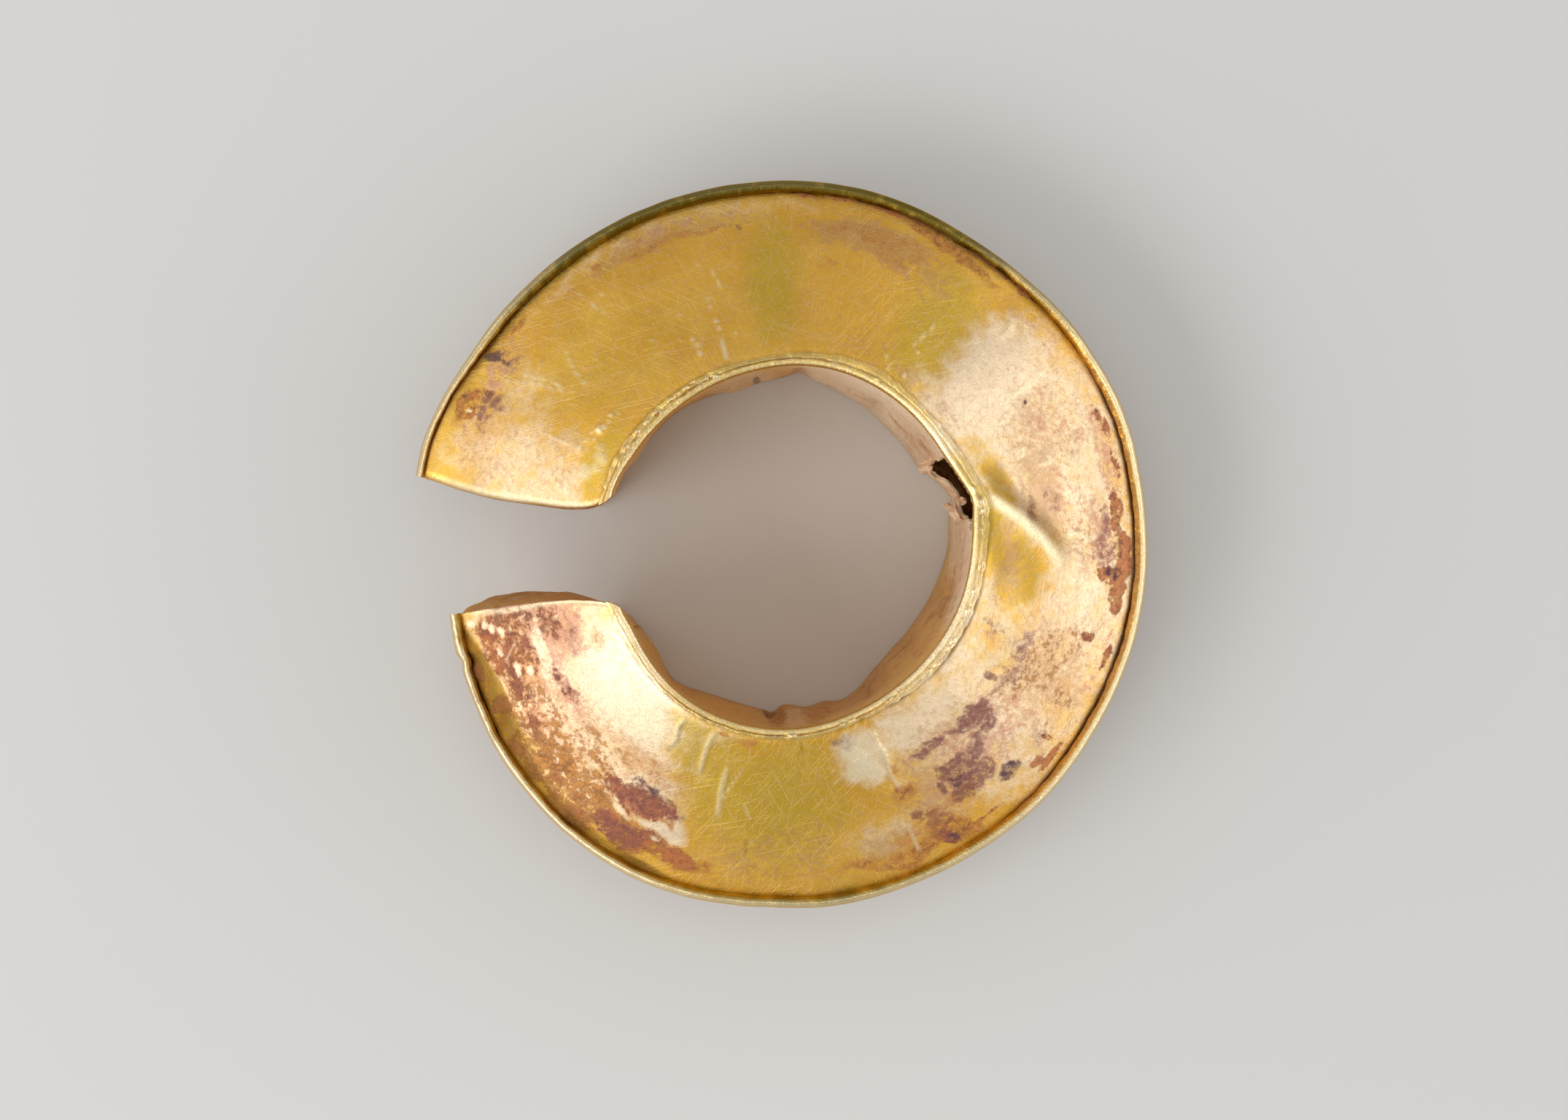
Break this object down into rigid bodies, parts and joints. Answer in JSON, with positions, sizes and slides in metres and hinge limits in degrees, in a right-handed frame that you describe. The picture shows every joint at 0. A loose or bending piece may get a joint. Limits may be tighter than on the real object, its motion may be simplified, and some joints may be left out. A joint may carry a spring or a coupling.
{
  "type": "lock ring",
  "caption": "Hollow sheet-gold ring of triangular section with a gap between its two ends, an inner tube with folded lips and a binding strip round the rim.",
  "frame": {"origin": "on the ring's axis, at the plane of the back lip that it rests on", "axes": "+Z along the ring's axis towards the front face, -X towards the gap, +Y towards the upper arm"},
  "size_m": [0.0294, 0.0293, 0.0116],
  "materials": {
    "plate_gold": "hammered sheet gold, satin, with brown and purple earth stains",
    "tube_gold": "burnished sheet gold, creased",
    "binding_gold": "polished folded gold strip",
    "end_gold": "dull browned sheet gold"
  },
  "bodies": {
    "root": {"front_face_plate": "plate_gold", "back_face_plate": "plate_gold", "inner_tube": "tube_gold", "rim_binding": "binding_gold", "upper_end_plate": "end_gold", "lower_end_plate": "end_gold"}
  },
  "joints": []
}
